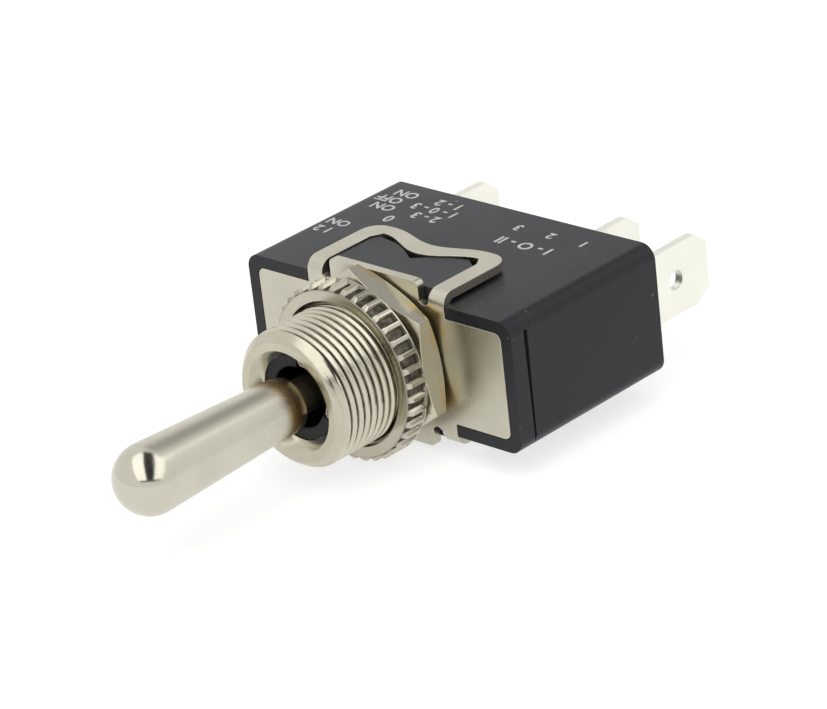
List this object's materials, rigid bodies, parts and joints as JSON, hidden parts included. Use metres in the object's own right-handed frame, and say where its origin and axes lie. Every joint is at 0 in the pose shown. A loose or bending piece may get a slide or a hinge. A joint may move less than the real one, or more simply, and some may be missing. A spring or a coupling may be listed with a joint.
{
  "type": "panel toggle switch",
  "caption": "Bat-lever panel toggle switch with a threaded bushing and its nuts, a sheet-metal frame clipped round a slim moulded case, and blade terminals at the back.",
  "frame": {"origin": "on the bushing's axis, at the front face of the frame plate", "axes": "-Y along the bushing towards the lever's tip, +X along the case towards the common terminal, +Z across the case's thickness"},
  "size_m": [0.0296, 0.0569, 0.016],
  "materials": {
    "case_black": "satin moulded black",
    "liner_black": "matte black",
    "nickel_plate": "satin nickel plate",
    "nut_nickel": "nickel-plated brass",
    "lever_nickel": "polished nickel plate on brass",
    "steel": "plain steel",
    "copper": "copper alloy strip",
    "silver": "silver contact",
    "blade_silver": "silver-plated brass"
  },
  "bodies": {
    "body": {"housing": "case_black", "frame_clip": "nickel_plate", "bushing": "nickel_plate", "slot_insert": "liner_black", "pivot_pin": "steel", "insulating_cover": "liner_black", "fixed_contact_left": "silver", "fixed_contact_right": "silver", "terminal_left": "blade_silver", "terminal_common": "blade_silver", "terminal_right": "blade_silver"},
    "hex": {"hex_nut": "nut_nickel"},
    "ring": {"knurled_nut": "nut_nickel"},
    "bat": {"lever": "lever_nickel", "lever_sleeve": "liner_black"},
    "nose": {"plunger": "steel", "plunger_spring": "steel"},
    "seesaw": {"rocker": "copper", "rocker_contact_left": "silver", "rocker_contact_right": "silver"}
  },
  "joints": [
    {"name": "hex_nut_turn", "type": "hinge", "parent": "body", "child": "hex", "pos_m": [0, 0, 0], "axis": [0, -1, 0], "continuous": true},
    {"name": "knurled_nut_turn", "type": "hinge", "parent": "body", "child": "ring", "pos_m": [0, 0, 0], "axis": [0, -1, 0], "continuous": true},
    {"name": "lever_swing", "type": "hinge", "parent": "body", "child": "bat", "pos_m": [0, -0.005, 0], "axis": [0, 0, 1], "range_deg": [-12, 12]},
    {"name": "plunger_slide", "type": "slide", "parent": "bat", "child": "nose", "axis": [0, -1, 0], "range_m": [0, 0.0008], "stiffness_N_per_m": 200, "springref_m": -0.004, "deforming": ["plunger_spring"]},
    {"name": "rocker_tilt", "type": "hinge", "parent": "body", "child": "seesaw", "pos_m": [0, 0.0103, 0], "axis": [0, 0, 1], "range_deg": [-8.5, 8.5]}
  ],
  "couplings": [
    {"joint": "rocker_tilt", "follows": "lever_swing", "ratio": -0.7}
  ]
}
